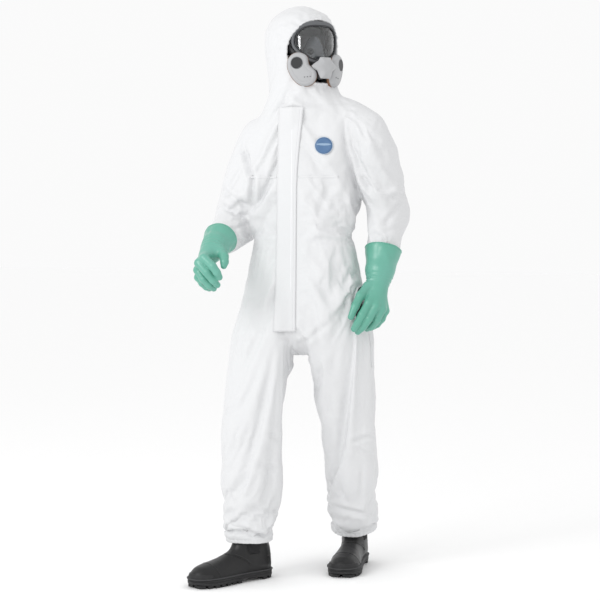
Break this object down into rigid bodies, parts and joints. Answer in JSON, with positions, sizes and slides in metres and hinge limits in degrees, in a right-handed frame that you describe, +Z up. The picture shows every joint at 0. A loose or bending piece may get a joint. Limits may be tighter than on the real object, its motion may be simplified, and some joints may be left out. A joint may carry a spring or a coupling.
{
  "type": "chemical protective suit",
  "caption": "Hooded white protective coverall with storm flap, full-face twin-filter respirator, gauntlet gloves and safety boots, hollow, standing as worn.",
  "frame": {"origin": "on the ground, under the middle of the suit's bounding box", "axes": "+Z up; the suit's front faces -Y; the wearer's left is +X"},
  "size_m": [0.5962, 0.6214, 1.82],
  "materials": {
    "cloth": "matt laminated nonwoven",
    "elastic": "gathered elastic",
    "lens": "clear polycarbonate",
    "frame": "satin",
    "rubber": "matt moulded",
    "nose": "satin silicone",
    "valve": "matt",
    "shell": "satin",
    "zip": "satin nylon",
    "badge": "matt sticker",
    "glove": "satin nitrile",
    "leather": "semi-matt",
    "steel": "plain",
    "insole": "felt",
    "sole": "moulded",
    "gore": "woven elastic"
  },
  "bodies": {
    "torso": {"front_panel_left": "cloth", "front_panel_right": "cloth", "back_panel": "cloth", "waist_elastic": "elastic", "crotch_gusset": "cloth", "zip_tape": "zip", "zip_chain": "zip", "chest_badge": "badge"},
    "flap": {"storm_flap": "cloth"},
    "slider": {"zip_slider": "zip"},
    "puller": {"zip_puller": "zip"},
    "head": {"hood": "cloth", "face_elastic": "elastic", "visor_lens": "lens", "lens_frame": "frame", "face_seal": "rubber", "nose_cup": "nose", "inhalation_valve_right": "valve", "inhalation_valve_left": "valve", "exhalation_housing": "rubber", "exhalation_cover": "shell", "filter_mount_right": "rubber", "filter_mount_left": "rubber", "buckle_right": "valve", "buckle_left": "valve", "head_strap": "rubber"},
    "filter_right": {"filter_right": "shell"},
    "filter_left": {"filter_left": "shell"},
    "valve": {"exhalation_valve": "valve"},
    "upper_arm_right": {"upper_sleeve_right": "cloth"},
    "forearm_right": {"forearm_sleeve_right": "cloth", "wrist_elastic_right": "elastic", "glove_gauntlet_right": "glove"},
    "hand_right": {"glove_hand_right": "glove"},
    "thigh_right": {"thigh_right": "cloth"},
    "shin_right": {"shin_right": "cloth", "ankle_elastic_right": "elastic"},
    "foot_right": {"boot_upper_right": "leather", "toe_cap_right": "steel", "insole_right": "insole", "outsole_right": "sole", "gore_outer_right": "gore", "gore_inner_right": "gore"},
    "upper_arm_left": {"upper_sleeve_left": "cloth"},
    "forearm_left": {"forearm_sleeve_left": "cloth", "wrist_elastic_left": "elastic", "glove_gauntlet_left": "glove"},
    "hand_left": {"glove_hand_left": "glove"},
    "thigh_left": {"thigh_left": "cloth"},
    "shin_left": {"shin_left": "cloth", "ankle_elastic_left": "elastic"},
    "foot_left": {"boot_upper_left": "leather", "toe_cap_left": "steel", "insole_left": "insole", "outsole_left": "sole", "gore_outer_left": "gore", "gore_inner_left": "gore"}
  },
  "joints": [
    {"name": "neck_turn", "type": "hinge", "parent": "torso", "child": "head", "pos_m": [-0.01588, 0.02829, 1.512], "axis": [0, 0, 1], "range_deg": [-80, 15]},
    {"name": "shoulder_right", "type": "hinge", "parent": "torso", "child": "upper_arm_right", "pos_m": [-0.22789, 0.03229, 1.425], "axis": [1, 0, 0], "range_deg": [-30, 1]},
    {"name": "elbow_right", "type": "hinge", "parent": "upper_arm_right", "child": "forearm_right", "pos_m": [-0.23988, 0.00428, 1.15], "axis": [-0.997, -0.0596, 0.0496], "range_deg": [-35, 50]},
    {"name": "wrist_right", "type": "hinge", "parent": "forearm_right", "child": "hand_right", "pos_m": [-0.23189, -0.22171, 1.039], "axis": [0.923, -0.3809, 0.0551], "range_deg": [-25, 25]},
    {"name": "hip_right", "type": "hinge", "parent": "torso", "child": "thigh_right", "pos_m": [-0.11288, 0.03229, 0.905], "axis": [1, 0, 0], "range_deg": [-6, 20]},
    {"name": "knee_right", "type": "hinge", "parent": "thigh_right", "child": "shin_right", "pos_m": [-0.16789, -0.08071, 0.483], "axis": [1, 0, 0], "range_deg": [-3, 60]},
    {"name": "ankle_right", "type": "hinge", "parent": "shin_right", "child": "foot_right", "pos_m": [-0.15288, -0.09671, 0.1], "axis": [1, 0, 0], "range_deg": [-8, 8]},
    {"name": "shoulder_left", "type": "hinge", "parent": "torso", "child": "upper_arm_left", "pos_m": [0.19612, 0.03229, 1.425], "axis": [1, 0, 0], "range_deg": [-25, 20]},
    {"name": "elbow_left", "type": "hinge", "parent": "upper_arm_left", "child": "forearm_left", "pos_m": [0.24011, 0.13628, 1.192], "axis": [-0.9717, 0.2202, -0.0852], "range_deg": [-45, 50]},
    {"name": "wrist_left", "type": "hinge", "parent": "forearm_left", "child": "hand_left", "pos_m": [0.23611, 0.02029, 0.938], "axis": [-0.5316, -0.7071, 0.4663], "range_deg": [-10, 25]},
    {"name": "hip_left", "type": "hinge", "parent": "torso", "child": "thigh_left", "pos_m": [0.08112, 0.03229, 0.905], "axis": [1, 0, 0], "range_deg": [-20, 8]},
    {"name": "knee_left", "type": "hinge", "parent": "thigh_left", "child": "shin_left", "pos_m": [0.09612, 0.13428, 0.48], "axis": [1, 0, 0], "range_deg": [-3, 60]},
    {"name": "ankle_left", "type": "hinge", "parent": "shin_left", "child": "foot_left", "pos_m": [0.08911, 0.23528, 0.1], "axis": [1, 0, 0], "range_deg": [-8, 8]},
    {"name": "flap_open", "type": "hinge", "parent": "torso", "child": "flap", "pos_m": [-0.06989, -0.08861, 1.1], "axis": [0, -0.0232, -0.9997], "range_deg": [0, 110]},
    {"name": "zip_travel", "type": "slide", "parent": "torso", "child": "slider", "axis": [0, -0.0232, -0.9997], "range_m": [0, 0.56]},
    {"name": "puller_swing", "type": "hinge", "parent": "slider", "child": "puller", "pos_m": [-0.01588, -0.08105, 1.4849], "axis": [-1, 0, 0], "range_deg": [0, 60]},
    {"name": "filter_twist_right", "type": "hinge", "parent": "head", "child": "filter_right", "pos_m": [0.00964, -0.05281, 1.61], "axis": [0.2756, -0.9613, 0], "range_deg": [0, 10]},
    {"name": "filter_twist_left", "type": "hinge", "parent": "head", "child": "filter_left", "pos_m": [0.06898, 0.02314, 1.61], "axis": [0.9994, -0.0349, 0], "range_deg": [-10, 0]},
    {"name": "exhalation_lift", "type": "slide", "parent": "head", "child": "valve", "axis": [0.788, -0.6157, 0], "range_m": [0, 0.002], "stiffness_N_per_m": 20}
  ]
}
